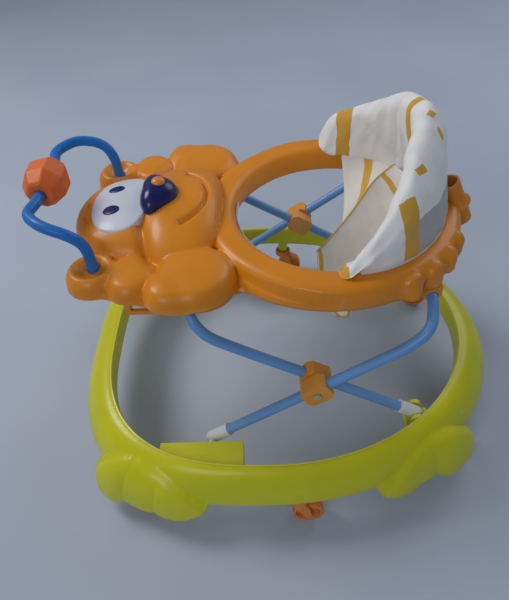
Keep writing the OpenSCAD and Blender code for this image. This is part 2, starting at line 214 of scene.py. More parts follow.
def woven_cloth(name, ground, patches=()):
    """Plain-weave cotton. Each patch ((u0, u1), (v0, v1), colour) prints a place of the flat cloth."""
    material, shader, add, link = new_material(name)
    cloth = add("ShaderNodeUVMap", uv_map="cloth").outputs["UV"]
    wobble = noise(add, link, cloth, Scale=26.0, Detail=2.0)
    loose = add("ShaderNodeVectorMath", operation="MULTIPLY_ADD")
    loose.inputs[1].default_value, loose.inputs[2].default_value = (0.012,) * 3, (-0.006,) * 3
    link(wobble.outputs["Color"], loose.inputs[0])
    place = add("ShaderNodeVectorMath", operation="ADD")
    link(cloth, place.inputs[0])
    link(loose.outputs["Vector"], place.inputs[1])
    parts = add("ShaderNodeSeparateXYZ")
    link(place.outputs["Vector"], parts.inputs["Vector"])
    drift = noise(add, link, cloth, Scale=30.0, Detail=3.0)
    colour = ramp(add, link, drift.outputs["Fac"], [(0.3, shade(ground, 0.9)), (0.7, ground)])

    def between(axis, low, high):
        node = add("ShaderNodeMath", operation="COMPARE")
        node.inputs[1].default_value = (low + high) / 2
        node.inputs[2].default_value = (high - low) / 2
        link(parts.outputs[axis], node.inputs[0])
        return node.outputs["Value"]

    for along, across, dye in patches:
        both = add("ShaderNodeMath", operation="MULTIPLY")
        link(between("X", *along), both.inputs[0])
        link(between("Y", *across), both.inputs[1])
        colour = tint(add, link, both.outputs["Value"], colour, dye)
    link(colour, shader.inputs["Base Color"])

    flat = add("ShaderNodeSeparateXYZ")
    link(cloth, flat.inputs["Vector"])
    waves = []
    for axis in ("X", "Y"):
        thread = add("ShaderNodeMath", operation="MULTIPLY")
        thread.inputs[1].default_value = 2 * math.pi / THREAD_PITCH
        link(flat.outputs[axis], thread.inputs[0])
        wave = add("ShaderNodeMath", operation="SINE")
        link(thread.outputs["Value"], wave.inputs[0])
        waves.append(wave.outputs["Value"])
    crossing = add("ShaderNodeMath", operation="MULTIPLY")
    link(waves[0], crossing.inputs[0])
    link(waves[1], crossing.inputs[1])
    weave = add_bump(add, link, crossing.outputs["Value"], 0.3, 0.0003)
    crease = noise(add, link, cloth, Scale=24.0, Detail=4.0, Distortion=0.8)
    folds = add_bump(add, link, crease.outputs["Fac"], 0.45, 0.006)
    link(weave.outputs["Normal"], folds.inputs["Normal"])
    link(folds.outputs["Normal"], shader.inputs["Normal"])
    shader.inputs["Roughness"].default_value = 0.82
    shader.inputs["Sheen Weight"].default_value = 0.2
    return material


ORANGE = moulded_plastic("tray_orange", (0.80, 0.27, 0.008), roughness=0.34, coat=0.12, deep=0.9)
LIME = moulded_plastic("base_lime", (0.66, 0.65, 0.001), roughness=0.3, coat=0.15, deep=0.92)
PIVOT = moulded_plastic("pivot_orange", (0.84, 0.34, 0.012), roughness=0.36, coat=0.15)
CASTER = moulded_plastic("caster_orange", (0.82, 0.23, 0.008), roughness=0.36, coat=0.15)
WHITE = moulded_plastic("white_plastic", (0.80, 0.82, 0.84), roughness=0.4, coat=0.1)
FACE_WHITE = moulded_plastic("face_white", (0.66, 0.70, 0.80), roughness=0.32, coat=0.2, deep=0.94)
NAVY = moulded_plastic("nose_blue", (0.004, 0.006, 0.12), roughness=0.22, coat=0.2)
BUTTON = moulded_plastic("button_orange", (0.84, 0.24, 0.02), roughness=0.25, coat=0.4)
BAR_BLUE = moulded_plastic("bar_blue", (0.0, 0.17, 0.60), roughness=0.36, coat=0.05)
BEAD_ORANGE = moulded_plastic("bead_orange", (0.90, 0.15, 0.001), roughness=0.42, coat=0.0, deep=0.8)
TUBE_BLUE = painted_tube("tube_blue", (0.13, 0.34, 0.72))
STEEL = brushed_steel("zinc_steel")


# ---------------------------------------------------------------- mesh helpers

def add_object(name, data):
    """A new object in the scene."""
    obj = bpy.data.objects.new(name, data)
    bpy.context.scene.collection.objects.link(obj)
    return obj


def soften(obj, width, segments, angle=30):
    """Bevels the edges that turn by more than angle degrees."""
    bevel = obj.modifiers.new("Edges", "BEVEL")
    bevel.width, bevel.segments, bevel.limit_method = width, segments, "ANGLE"
    bevel.angle_limit = math.radians(angle)


def finish_piece(obj, material, body, replaces=(), slot=None, edge_angle=40):
    """Smooth shading with sharp edges kept, its material, its body and what it stands for."""
    mesh = obj.data
    mesh.polygons.foreach_set("use_smooth", [True] * len(mesh.polygons))
    mesh.set_sharp_from_angle(angle=math.radians(edge_angle))
    mesh.materials.clear()
    mesh.materials.append(material)
    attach(obj, body)
    if replaces:
        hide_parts(*replaces)
    return obj


def make_piece(name, points, faces, material, body, replaces=(), slot=None, edge_angle=40, merge=0.02):
    """A mesh piece from points in design millimetres."""
    mesh = bpy.data.meshes.new(name)
    mesh.from_pydata(to_row(points).tolist(), [], [tuple(int(i) for i in f) for f in faces])
    bm = bmesh.new()
    bm.from_mesh(mesh)
    bmesh.ops.remove_doubles(bm, verts=bm.verts, dist=merge * MM)
    bmesh.ops.recalc_face_normals(bm, faces=bm.faces)
    bm.to_mesh(mesh)
    bm.free()
    return finish_piece(add_object(name, mesh), material, body, replaces, slot, edge_angle)


def grid_faces(rows, columns, close_rows=False, close_columns=False):
    """Quads of a grid of points stored row by row."""
    return [(r * columns + c, ((r + 1) % rows) * columns + c,
             ((r + 1) % rows) * columns + (c + 1) % columns, r * columns + (c + 1) % columns)
            for r in range(rows if close_rows else rows - 1)
            for c in range(columns if close_columns else columns - 1)]


def end_faces(rows, columns):
    """The two faces that close the first and the last row of a grid."""
    return [tuple(range(columns)), tuple(reversed(range((rows - 1) * columns, rows * columns)))]


def lathe(profile, steps=48):
    """Points and faces of the profile [(radius, height), ...] turned about Z."""
    turn = np.linspace(0, 2 * math.pi, steps, endpoint=False)
    points = [(r * math.cos(a), r * math.sin(a), z) for a in turn for r, z in profile]
    return np.array(points), grid_faces(steps, len(profile), close_rows=True)


def unit(v):
    """The vector at length 1."""
    return np.asarray(v, float) / max(np.linalg.norm(v), 1e-12)


def rounded_path(corners, reach, steps=10):
    """The corners joined by straight lines, with each bend rounded from reach before to reach after it."""
    corners = [np.array(c, float) for c in corners]
    path = [corners[0]]
    for before, at, after in zip(corners, corners[1:], corners[2:]):
        d_in = min(reach, 0.48 * np.linalg.norm(at - before))
        d_out = min(reach, 0.48 * np.linalg.norm(after - at))
        a, c = at + unit(before - at) * d_in, at + unit(after - at) * d_out
        path += [(1 - u) ** 2 * a + 2 * u * (1 - u) * at + u * u * c for u in np.linspace(0, 1, steps)]
    return path + [corners[-1]]


def both_sides(half):
    """A half path from the +X side to the middle, with its mirror image after it."""
    return list(half) + [(-p[0], p[1], p[2]) for p in reversed(half[:-1])]


def sweep(path, radius, sides=24, end_round=0.0):
    """Points and faces of a round rod along path; end_round rounds its two ends."""
    path = [np.array(p, float) for p in path]
    radii = [radius] * len(path)

    def cap(end, outward, turns):
        return [(end + outward * end_round * math.sin(a), radius - end_round * (1 - math.cos(a)))
                for a in turns]

    if end_round:
        turns = np.linspace(0.1, math.pi / 2, 5)
        lead = cap(path[0], unit(path[0] - path[1]), turns[::-1])
        tail = cap(path[-1], unit(path[-1] - path[-2]), turns)
        path = [p for p, _ in lead] + path + [p for p, _ in tail]
        radii = [r for _, r in lead] + radii + [r for _, r in tail]
    side = unit(np.cross(path[1] - path[0], (0.3, 0.4, 1)))
    points = []
    for i, p in enumerate(path):
        along = unit(path[min(i + 1, len(path) - 1)] - path[max(i - 1, 0)])
        side = unit(side - along * (side @ along))
        up = np.cross(along, side)
        points += [p + radii[i] * (math.cos(a) * side + math.sin(a) * up)
                   for a in np.linspace(0, 2 * math.pi, sides, endpoint=False)]
    return np.array(points), grid_faces(len(path), sides, close_columns=True) + end_faces(len(path), sides)


def joined(parts):
    """Several (points, faces) as one."""
    points, faces, count = [], [], 0
    for p, f in parts:
        points.append(np.asarray(p, float).reshape(-1, 3))
        faces += [tuple(i + count for i in face) for face in f]
        count += len(points[-1])
    return np.vstack(points), faces


def smooth_max(a, b, k):
    """The larger value, blended over k where the two are close."""
    h = np.clip(0.5 + 0.5 * (a - b) / k, 0, 1)
    return b + (a - b) * h + k * h * (1 - h)


def smooth_min(a, b, k):
    """The smaller value, blended over k where the two are close."""
    return -smooth_max(-a, -b, k)


def smooth_step(x, low, high):
    """0 below low and 1 above high, eased in between."""
    t = np.clip((x - low) / (high - low), 0, 1)
    return t * t * (3 - 2 * t)


def spline(p0, p1, p2, p3, t):
    """The point at t from p1 to p2 on a smooth curve through all four."""
    return 0.5 * (2 * p1 + (p2 - p0) * t + (2 * p0 - 5 * p1 + 4 * p2 - p3) * t * t
                  + (3 * p1 - p0 - 3 * p2 + p3) * t ** 3)


# ---------------------------------------------------------------- base ring

def ring_plan(t, size):
    """A closed outline, square-shouldered at the front and elliptical at the rear."""
    half, front, rear = size
    c, s = math.cos(t), math.sin(t)
    if s < 0:
        power = 2 / SHOULDER
        return np.array([half * math.copysign(abs(c) ** power, c), BASE_MID_Y - front * abs(s) ** power])
    return np.array([half * c, BASE_MID_Y + rear * s])


def lobe_shape(t):
    """The paw-like corner lobes at the angle t: how far they swell, and where they start down the rail."""
    a = math.degrees(math.asin(math.sin(t)))
    front = max(math.exp(-abs((a + 42) / 9.5) ** 3.5), 0.72 * math.exp(-abs((a + 20) / 9) ** 3),
                0.72 * math.exp(-abs((a + 31) / 9) ** 6))
    rear = max(0.64 * math.exp(-abs((a - 29) / 7) ** 3), math.exp(-abs((a - 45.5) / 8.5) ** 4),
               0.58 * math.exp(-abs((a - 37) / 7) ** 6))
    start_front = 0.33 + 0.65 * ((a + 34) / (18 if a < -34 else 22)) ** 2
    start_rear = 0.42 + 0.58 * ((a - 41) / (18 if a < 41 else 13)) ** 2
    return (front, start_front) if a < 0 else (rear, start_rear)


def rail_section(t):
    """Closed section of the rail shell at the angle t, as points in the design axes."""
    inner, outer = ring_plan(t, BASE_IN), ring_plan(t, BASE_OUT)
    out, width = unit(outer - inner), np.linalg.norm(outer - inner)
    swell, start = lobe_shape(t)
    shell = []
    for s in np.linspace(0, 1, 34):
        turn = s * math.pi / 2
        u = 0.09 * width + 0.91 * width * math.sin(turn)
        z = RAIL_FOOT + (RAIL_TOP - RAIL_FOOT) * max(math.cos(turn), 0) ** 1.2
        if swell > 0.02 and start < 1:
            d = min(max((s - start) / (1 - start), 0), 1)
            bulge = math.sqrt(1 - (1 - d) ** 2) ** 0.9
            u += LOBE_OUT * swell * bulge
            z -= (RAIL_FOOT - LOBE_FOOT) * swell * d ** 1.3
        shell.append((u, z))
    wide, foot = shell[-1]
    lip = [(5.5, 98), (2.2, 97), (0.3, 99), (0, 104), (0, 124), (0.2, 131), (1.2, 135), (3.2, 137.2),
           (5.4, 136.6)]
    under = [(wide - 0.6, foot - 1.6), (wide - 2.4, foot - 2.2), (wide - 3.6, foot - 1), (wide - 4, foot + 3)]
    back = [(max(u - 4.5, 5.5), z - 4) for u, z in reversed(shell[3:-3:3])]
    section = lip + shell + under + back
    return [(*(inner + out * u), z) for u, z in section]


def build_base():
    """One shell round the whole ring, open below."""
    stations = 720
    rings = [rail_section(2 * math.pi * i / stations) for i in range(stations)]
    count = len(rings[0])
    make_piece("base_ring_shell", [p for ring in rings for p in ring],
               grid_faces(stations, count, close_rows=True, close_columns=True),
               LIME, "base", ["base_ring"], "lime_plastic", edge_angle=60)


# ---------------------------------------------------------------- folding frames

def on_line(foot, y, x):
    """The point at y on the straight tube that runs from its foot through the crossing."""
    slope = (CROSSING[1] - foot[1]) / (CROSSING[0] - foot[0])
    return (x, y, foot[1] + slope * (y - foot[0]))


def build_tubes():
    """The two bent tubes of the folding frame."""
    inner_half = [on_line(REAR_FOOT, REAR_FOOT[0] - 6, INNER_X), on_line(REAR_FOOT, -72, INNER_X),
                  (INNER_X, -126, 320), (182, SLIDE_BAR_Y, HINGE[1]), (0, SLIDE_BAR_Y, HINGE[1])]
    outer_half = [on_line(FRONT_FOOT, FRONT_FOOT[0] + 6, OUTER_X), on_line(FRONT_FOOT, 156, OUTER_X),
                  (212, 184, 338), (170, HINGE[0], HINGE[1]), (126, HINGE[0], HINGE[1]), (64, 238, 349),
                  (0, 243, 349)]
    make_piece("inner_tube_steel", *sweep(rounded_path(both_sides(inner_half), 24), TUBE_R), TUBE_BLUE,
               "inner_frame", ["inner_tube"], "blue_tube")
    make_piece("outer_tube_steel", *sweep(rounded_path(both_sides(outer_half), 18), TUBE_R), TUBE_BLUE,
               "outer_frame", ["outer_tube"], "blue_tube")


# ---------------------------------------------------------------- tray

def circle_gap(x, y, at, r):
    """Signed distance from a circle, negative inside."""
    return np.hypot(x - at[0], y - at[1]) - r


def box_gap(x, y, at, half, r):
    """Signed distance from a box with corners rounded by r, negative inside."""
    dx, dy = np.abs(x - at[0]) - half[0] + r, np.abs(y - at[1]) - half[1] + r
    return np.hypot(np.maximum(dx, 0), np.maximum(dy, 0)) + np.minimum(np.maximum(dx, dy), 0) - r


def oval(x, y, at, half, power=2.0):
    """Distance from at as a share of the oval's reach, so 1 on its outline. A higher power squares it."""
    return ((np.abs(x - at[0]) / half[0]) ** power + (np.abs(y - at[1]) / half[1]) ** power) ** (1 / power)


def toes(reach):
    """Middle and radius of each toe on the left rear of the ring, at reach from the ring's middle."""
    places = [(math.radians(a), r) for a, r in ((64, 13), (53, 15), (41.5, 17), (30, 17))]
    return [((RING_AT[0] + reach * math.cos(a), RING_AT[1] + reach * math.sin(a)), r) for a, r in places]


def paw_gap(x, y, paw):
    """Signed distance from a paw's outline, negative inside."""
    first, second, blend = paw
    return smooth_min(circle_gap(x, y, *first), circle_gap(x, y, *second), blend)


def tray_gap(x, y):
    """Signed distance from the tray's outline in plan, negative inside."""
    x = np.abs(x)
    gap = circle_gap(x, y, RING_AT, RING_R)
    for at, r in toes(198):
        gap = smooth_min(gap, circle_gap(x, y, at, r), 3)
    gap = smooth_min(gap, box_gap(x, y, (0, -155), (135, 75), 10), 3)
    gap = smooth_min(gap, circle_gap(x, y, HEAD_AT, HEAD_R), 3)
    side = smooth_min(circle_gap(x, y, EAR_AT, 39), paw_gap(x, y, SMALL_PAW), 10)
    gap = smooth_min(gap, smooth_min(side, paw_gap(x, y, BIG_PAW), 8), 6)
    return np.maximum(gap, -circle_gap(x, y, HOLE_AT, HOLE_R))


def pillow(gap, top, fall, width):
    """Height of a pad that is flat inside, rounds down over width to its outline and falls away outside."""
    inside = top - fall * (1 - np.sqrt(1 - np.clip(1 + gap / width, 0, 1) ** 2))
    return inside - 6 * np.clip(gap, 0, None)


def groove(x, y, centre_line, width, depth):
    """A soft channel along the points of centre_line."""
    best = np.full(np.shape(x), 1e9)
    for (ax, ay), (bx, by) in zip(centre_line, centre_line[1:]):
        vx, vy = bx - ax, by - ay
        t = np.clip(((x - ax) * vx + (y - ay) * vy) / (vx * vx + vy * vy), 0, 1)
        best = np.minimum(best, np.hypot(x - ax - t * vx, y - ay - t * vy))
    return depth * np.exp(-((best / width) ** 2) * 2)


SMILE = [(75 * math.sin(a), -196 + 73 * math.cos(a)) for a in np.linspace(-1.02, 1.02, 21)]
# Wavy line at the front of the forehead
TUFT = [(x, -309 + 2.6 * math.cos(x / 5.5)) for x in np.linspace(-32, 40, 25)]


def head_top(x, y):
    """The crowned forehead and cheeks of the bear, before its grooves."""
    x = np.abs(x)
    ahead = np.clip(-232 - y, 0, None)
    dome = 426 - 24 * (x / 108) ** 2 - 20 * (x / 108) ** 6 - 20 * (ahead / 88) ** 2
    edge = circle_gap(x, y, CROWN_AT, CROWN_R)
    return np.where(edge < 0, dome, 380 - edge)


def tray_height(x, y):
    """Height of the tray's top before its outer edge is rounded off."""
    side = np.abs(x)
    ring_gap = circle_gap(side, y, HOLE_AT, RING_R)
    front = smooth_step(-y, -20, 60)
    ring_fall = 14 * front * (1 - np.sqrt(np.clip(1 - np.clip(1 + ring_gap / 18, 0, 1) ** 2, 0, 1)))
    height = np.where(ring_gap < 0, TRAY_TOP - ring_fall, 380.0)
    height = np.maximum(height, 386)
    for at, r in toes(197):
        height = smooth_max(height, pillow(circle_gap(side, y, at, r), 404, 12, r), 2)
    height = smooth_max(height, pillow(paw_gap(side, y, SMALL_PAW), 401, 12, 30), 2)
    height = smooth_max(height, pillow(paw_gap(side, y, BIG_PAW), 408, 15, 40), 1.5)
    from_ear = circle_gap(side, y, EAR_AT, 0)
    ear = 386 + 13 * np.exp(-((from_ear - 28) / 13) ** 2) - 40 * np.clip(from_ear - 38, 0, None)
    height = smooth_max(height, ear, 3)
    height = smooth_max(height, head_top(side, y), 2.5)
    rho = oval(side, y, MUZZLE_AT, MUZZLE_HALF, 2.5)
    chin = np.exp(-(((rho - 1.05) * 58 / 7) ** 2)) * smooth_step(-y, 170, 200) * smooth_step(side, 20, 50)
    height = height - 9 * chin
    muzzle = pillow((rho - 1) * MUZZLE_HALF[1], 431, 24, 34) - 22 * (side / 125) ** 2
    height = smooth_max(height, muzzle, 2)
    return height - groove(x, y, SMILE, 5.2, 8) - groove(x, y, TUFT, 3.6, 4.5)


def moulded_shell(name, gap, top, step, edge_r, area, skirt, material, body, upside_down=None,
                  lift=lambda y: 0, **about):
    """A shell over the region where gap(x, y) < 0, with the height top(x, y) and an edge rounded with edge_r.

    The region is gridded on a slightly grown outline, and the outermost band is folded over the edge's arc.
    skirt is [(inset, height, share of lift(y)), ...] from the edge's foot on. upside_down is a level to
    mirror about.
    """
    x0, x1, y0, y1 = area
    xs, ys = np.arange(x0, x1 + step, step), np.arange(y0, y1 + step, step)
    grow = edge_r * (math.pi / 2 - 1)
    gx, gy = np.meshgrid(xs, ys, indexing="ij")
    d = gap(gx, gy) - grow
    eps = 0.5

    def slope(px, py):
        dx = (gap(px + eps, py) - gap(px - eps, py)) / (2 * eps)
        dy = (gap(px, py + eps) - gap(px, py - eps)) / (2 * eps)
        n = np.maximum(np.hypot(dx, dy), 1e-6)
        return dx / n, dy / n

    inside = d < 0
    cell = inside[:-1, :-1] | inside[1:, :-1] | inside[1:, 1:] | inside[:-1, 1:]
    used = np.zeros_like(inside)
    for sx, sy in ((0, 0), (1, 0), (1, 1), (0, 1)):
        used[sx:used.shape[0] - 1 + sx, sy:used.shape[1] - 1 + sy] |= cell
    px, py = gx[used].copy(), gy[used].copy()
    for _ in range(3):
        dd = gap(px, py) - grow
        nx, ny = slope(px, py)
        push = np.where(dd > -0.35 * step, dd, 0)
        px, py = px - nx * push, py - ny * push
    depth = np.clip(-(gap(px, py) - grow), 0, math.pi / 2 * edge_r)
    nx, ny = slope(px, py)
    shift = edge_r * (1 - np.cos(depth / edge_r)) - (depth - grow)
    shift = np.where(depth >= math.pi / 2 * edge_r - 1e-9, 0, shift)
    px, py = px - nx * shift, py - ny * shift
    pz = top(px, py) - edge_r * (1 - np.sin(depth / edge_r))
    index = -np.ones(used.shape, int)
    index[used] = np.arange(used.sum())
    cells = np.argwhere(cell)
    faces = [(index[i, j], index[i + 1, j], index[i + 1, j + 1], index[i, j + 1]) for i, j in cells]
    points = np.stack([px, py, pz], 1)

    mesh = bpy.data.meshes.new(name)
    mesh.from_pydata(points.tolist(), [], [tuple(int(k) for k in f) for f in faces])
    bm = bmesh.new()
    bm.from_mesh(mesh)
    bmesh.ops.remove_doubles(bm, verts=bm.verts, dist=0.25 * step)
    bmesh.ops.dissolve_degenerate(bm, dist=0.05, edges=bm.edges)
    rim = [e for e in bm.edges if e.is_boundary]
    for inset, height, share in skirt:
        made = bmesh.ops.extrude_edge_only(bm, edges=rim)
        rim = [g for g in made["geom"] if isinstance(g, bmesh.types.BMEdge)]
        verts = [g for g in made["geom"] if isinstance(g, bmesh.types.BMVert)]
        co = np.array([v.co for v in verts])
        sx, sy = slope(co[:, 0], co[:, 1])
        for v, ax, ay in zip(verts, sx, sy):
            v.co.z = min(height + share * lift(v.co.y), v.co.z - 0.05)
            v.co.x -= ax * inset
            v.co.y -= ay * inset
    for v in bm.verts:
        if upside_down is not None:
            v.co.z = 2 * upside_down - v.co.z
        v.co = to_row([v.co])[0]
    bmesh.ops.recalc_face_normals(bm, faces=bm.faces)
    bm.to_mesh(mesh)
    bm.free()
    return finish_piece(add_object(name, mesh), material, body, **about)


def build_tray():
    """Upper shell with all the relief, and a plain lower shell set back from its edge."""
    area = (-222, 222, -342, 276)
    skirt = [(0.5, 374, 1), (1.2, TRAY_SEAM + 0.6, 1), (0.8, TRAY_SEAM, 1), (2.4, TRAY_SEAM - 0.1, 1),
             (11, 365, 0.3), (2, 362, 0)]
    moulded_shell("tray_top_shell", tray_gap, tray_height, 2.4, 15, area, skirt, ORANGE, "tray",
                  lift=lambda y: 8 * float(smooth_step(-y, 40, 150)), replaces=["tray_top"],
                  slot="tray_plastic", edge_angle=50)
    moulded_shell("tray_bottom_shell", lambda x, y: tray_gap(x, y) + 15, lambda x, y: 366.0 + 0 * x, 4, 2.5,
                  area, [(0, 362, 0), (3, 361, 0)], ORANGE, "tray", upside_down=363,
                  replaces=["tray_bottom"], slot="tray_plastic", edge_angle=50)


def build_face():
    """White face patch, eyes, nose and its button."""
    def patch_gap(x, y):
        return (oval(x, y, FACE_AT, FACE_HALF, 2.3) - 1) * 54

    moulded_shell("face_patch", patch_gap, lambda x, y: head_top(x, y) + 1.6, 2.0, 1.6, (-74, 74, -304, -202),
                  [(0, 402, 0)], FACE_WHITE, "tray", replaces=["face_plate"], slot="face_white")
    for side, s in SIDES.items():
        eye_x = s * EYE_AT[0]

        def eye_gap(x, y, eye_x=eye_x):
            return (oval(x, y, (eye_x, EYE_AT[1]), EYE_HALF) - 1) * 11

        moulded_shell("eye_" + side + "_oval", eye_gap, lambda x, y: head_top(x, y) + 3.2, 1.0, 1.8,
                      (eye_x - 16, eye_x + 16, -284, -246), [(0, 410, 0)], NAVY, "tray",
                      replaces=["eye_" + side], slot="nose_blue")
    build_nose()


def nose_reach(a):
    """Outline of the nose round its centre: a rounded triangle that points to +Y."""
    r = 27 * (1 + 0.12 * math.cos(3 * (a - math.pi / 2)))
    return 1.5 * r * math.cos(a), 1.04 * r * math.sin(a)


def build_nose():
    """Domed nose that bulges over its foot, and the round button in its top."""
    around, down = 64, 20
    points = []
    for i in range(down + 1):
        r, z = math.sin(1.9 * i / down), math.cos(1.9 * i / down)
        for k in range(around):
            a = 2 * math.pi * k / around
            along, ahead = nose_reach(a)
            points.append((NOSE_AT[0] + along * r ** 0.85, NOSE_AT[1] + ahead * r ** 0.85, 428 + 25 * z))
    faces = grid_faces(down + 1, around, close_columns=True)
    make_piece("nose_knob", points, faces, NAVY, "tray", ["nose"], "nose_blue", edge_angle=80)
    profile = [(0, 458.4), (3.5, 458.1), (7, 457.1), (9.4, 455.2), (10.4, 452.8), (10.4, 449.5), (8, 447),
               (8, 441)]
    p, f = lathe(profile)
    make_piece("nose_push_button", p + (NOSE_AT[0], NOSE_AT[1] + 4, 0), f, BUTTON, "nose_button",
               ["nose_button"], "button_orange")


def build_toy_bar():
    """The bent bar and the two collars that hold its ends in the ears."""
    make_piece("toy_bar_rod", *sweep(rounded_path(both_sides(BAR_HALF), 18), BAR_R), BAR_BLUE, "tray",
               ["toy_bar"], "bar_blue")
    bore = BAR_R + 0.2
    p, f = lathe([(0, 383), (9.6, 383), (9.9, 384), (9.9, 394), (9.5, 395.6), (8.8, 396), (bore, 395.6),
                  (bore, 390)])
    parts = [(p + (s * BAR_HALF[0][0], BAR_HALF[0][1], 0), f) for s in SIDES.values()]
    make_piece("toy_bar_sockets", *joined(parts), BAR_BLUE, "tray", ["bar_sockets"], "bar_blue")


def build_bead():
    """Faceted roller: a band of flat facets between two cones, with a bore for the bar."""
    facets = 7
    profile = [(-BEAD_HALF, BAR_R), (-BEAD_HALF, 18), (2 - BEAD_HALF, 22), (-14, BEAD_R), (14, BEAD_R),
               (BEAD_HALF - 2, 22), (BEAD_HALF, 18), (BEAD_HALF, BAR_R)]
    turns = 2 * math.pi * (np.arange(facets) + 0.5) / facets
    points = [(x, BEAD_AT[1] + r * math.cos(a), BEAD_AT[2] + r * math.sin(a))
              for x, r in profile for a in turns]
    faces = grid_faces(len(profile), facets, close_rows=True, close_columns=True)
    obj = make_piece("bead_roller", points, faces, BEAD_ORANGE, "bead", ["bead"], "bead_orange", 20)
    soften(obj, 0.002, 3)


def build_rear_socket():
    """Leaning tube with a rounded mouth and a flare where it meets the tray."""
    profile = [(13, 0.8), (14, 0), (15.6, 0), (16.8, 1.2), (17, 3), (16.8, 20), (17.2, 30), (19, 36),
               (23, 41), (23, 44), (17, 46), (17, 75), (16, 76), (14, 76), (13, 75), (13, 0.8)]
    p, f = lathe(profile, 56)
    c, s = math.cos(SOCKET_LEAN), math.sin(SOCKET_LEAN)
    turned = np.stack([p[:, 0], p[:, 1] * c + p[:, 2] * s, p[:, 1] * s - p[:, 2] * c], 1)
    make_piece("rear_socket_tube", turned + SOCKET_MOUTH, f, ORANGE, "tray", ["rear_socket"], "tray_plastic")


# ---------------------------------------------------------------- casters

def build_wheel(name, at, body):
    """Wheel with a rounded tread, an axle boss and concentric ridges on its faces."""
    half, r = WHEEL_W / 2, WHEEL_D / 2
    profile = [(3.1, half - 1), (5, half), (7.4, half), (8, half - 0.8), (8, 7), (9, 6.2), (10.4, 6.2),
               (10.8, 8.4), (12.6, 8.4), (13, 6.2), (14.4, 6.2), (14.8, 9), (16.6, 9), (17, 6.2), (18.4, 6.2),
               (18.8, half - 1.6), (19.6, half - 0.5), (21.5, half), (r - 1.6, half - 0.8),
               (r - 0.5, half - 2.4), (r, half - 5)]
    profile += [(a, -b) for a, b in reversed(profile)]
    p, f = lathe(profile, 56)
    laid = np.stack([p[:, 2], p[:, 0], p[:, 1]], 1)
    make_piece(name + "_tread", laid + at, f, CASTER, body, [name], "caster_orange", edge_angle=35)


def build_fork(name, at, body):
    """Caster fork: stem, domed crown and two webbed cheeks that narrow to the axle."""
    stem = lathe([(0, 103), (4, 103), (5, 101.8), (5, 68), (9, 67.4), (15, 66.6), (16.6, 64.5), (17, 61),
                  (17, 57), (16, 56), (0, 56)], 40)
    parts = [stem]
    for side in (1, -1):
        outline = [(-8, 62), (-8, 57)]
        outline += [(TRAIL + 6 * math.cos(a), WHEEL_D / 2 + 6 * math.sin(a))
                    for a in np.linspace(math.radians(195), math.radians(375), 16)]
        outline += [(17, 46), (12, 57), (8, 64)]
        n = len(outline)
        x_in, x_out = side * 12.5, side * 16.5
        ring = [(x, y, z) for x in (x_in, x_out) for y, z in outline]
        faces = [tuple(range(n)), tuple(range(2 * n - 1, n - 1, -1))]
        faces += [(k, (k + 1) % n, n + (k + 1) % n, n + k) for k in range(n)]
        parts.append((ring, faces))
    p, f = joined(parts)
    obj = make_piece(name + "_body", p + (*at, 0), f, CASTER, body, [name], "caster_orange", edge_angle=35)
    soften(obj, 0.0008, 2, 50)


def build_casters():
    """Fork and wheel of each of the six casters."""
    for place, (x, y) in CASTERS.items():
        for side, s in SIDES.items():
            tag = place + "_" + side
            build_fork("fork_" + tag, (s * x, y), "caster_" + tag)
            build_wheel("wheel_" + tag, (s * x, y + TRAIL, WHEEL_D / 2), "wheel_" + tag)


# ---------------------------------------------------------------- CAD pieces that stay

def dress_cad_nodes():
    """Materials for the CAD pieces whose shape is right, with softened edges on the moulded ones."""
    def pair(*stems):
        return [stem + "_" + side for stem in stems for side in SIDES]

    looks = {
        LIME: pair("foot_track", "rear_bracket") + ["caster_sockets"],
        STEEL: pair("rear_foot_pin", "axle_front", "axle_mid", "axle_rear") + ["pivot_screws", "tray_screws"],
        WHITE: pair("inner_foot_cap", "outer_foot_cap"),
        PIVOT: pair("hinge_bush", "inner_pivot_block", "outer_pivot_block"),
        ORANGE: pair("hinge_saddle", "height_rack"),
    }
    for material, names in looks.items():
        for name in names:
            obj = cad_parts[name]
            obj.data.materials.clear()
            obj.data.materials.append(material)
            weld = obj.modifiers.new("Weld", "WELD")
            weld.merge_threshold = 0.00002
            soften(obj, 0.0007, 2, 40)


# ---------------------------------------------------------------- seat

# Rim of the padded back round the hole's middle: angle from the left end, distance, height
RIM = [(-4, 168, 411), (3, 161, 425), (10, 152, 447), (23, 137, 474), (34, 122, 496), (48, 108, 517),
       (67, 101, 540), (90, 104, 550), (112, 106, 549), (127, 110, 538), (146, 121, 512), (160, 138, 490),
       (170, 150, 474), (178, 158, 456), (184, 163, 434)]
RIM_LOW, RIM_RISE = 411, 145
BACK_FROM, BACK_TO = -4, 184  # its first and last angle
CAP_FROM, CAP_TO = 7, 8  # how many degrees its two rounded ends take
MUSTARD = (0.72, 0.40, 0.045)
GREY_VINYL = (0.46, 0.47, 0.49)
# Places on the cover in metres: along it from the left end, and round its section from the outer foot
COVER_PATCHES = [
    ((0.118, 0.36), (0.0, 0.056), GREY_VINYL), ((0.0, 0.012), (0.0, 0.4), MUSTARD),
    ((0.09, 0.118), (0.0, 0.088), MUSTARD), ((0.142, 0.160), (0.108, 0.119), MUSTARD),
    ((0.224, 0.240), (0.122, 0.138), MUSTARD), ((0.246, 0.264), (0.148, 0.160), MUSTARD),
    ((0.300, 0.317), (0.160, 0.5), MUSTARD), ((0.30, 0.315), (0.06, 0.12), MUSTARD),
    ((0.40, 0.42), (0.0, 0.11), MUSTARD), ((0.484, 0.513), (0.0, 0.4), MUSTARD),
]
PANEL_PATCHES = [((0.034, 0.048), (0.0, 0.12), MUSTARD), ((0.27, 0.282), (0.0, 0.3), MUSTARD)]
COVER = woven_cloth("seat_cover", (0.97, 0.97, 0.96), COVER_PATCHES)
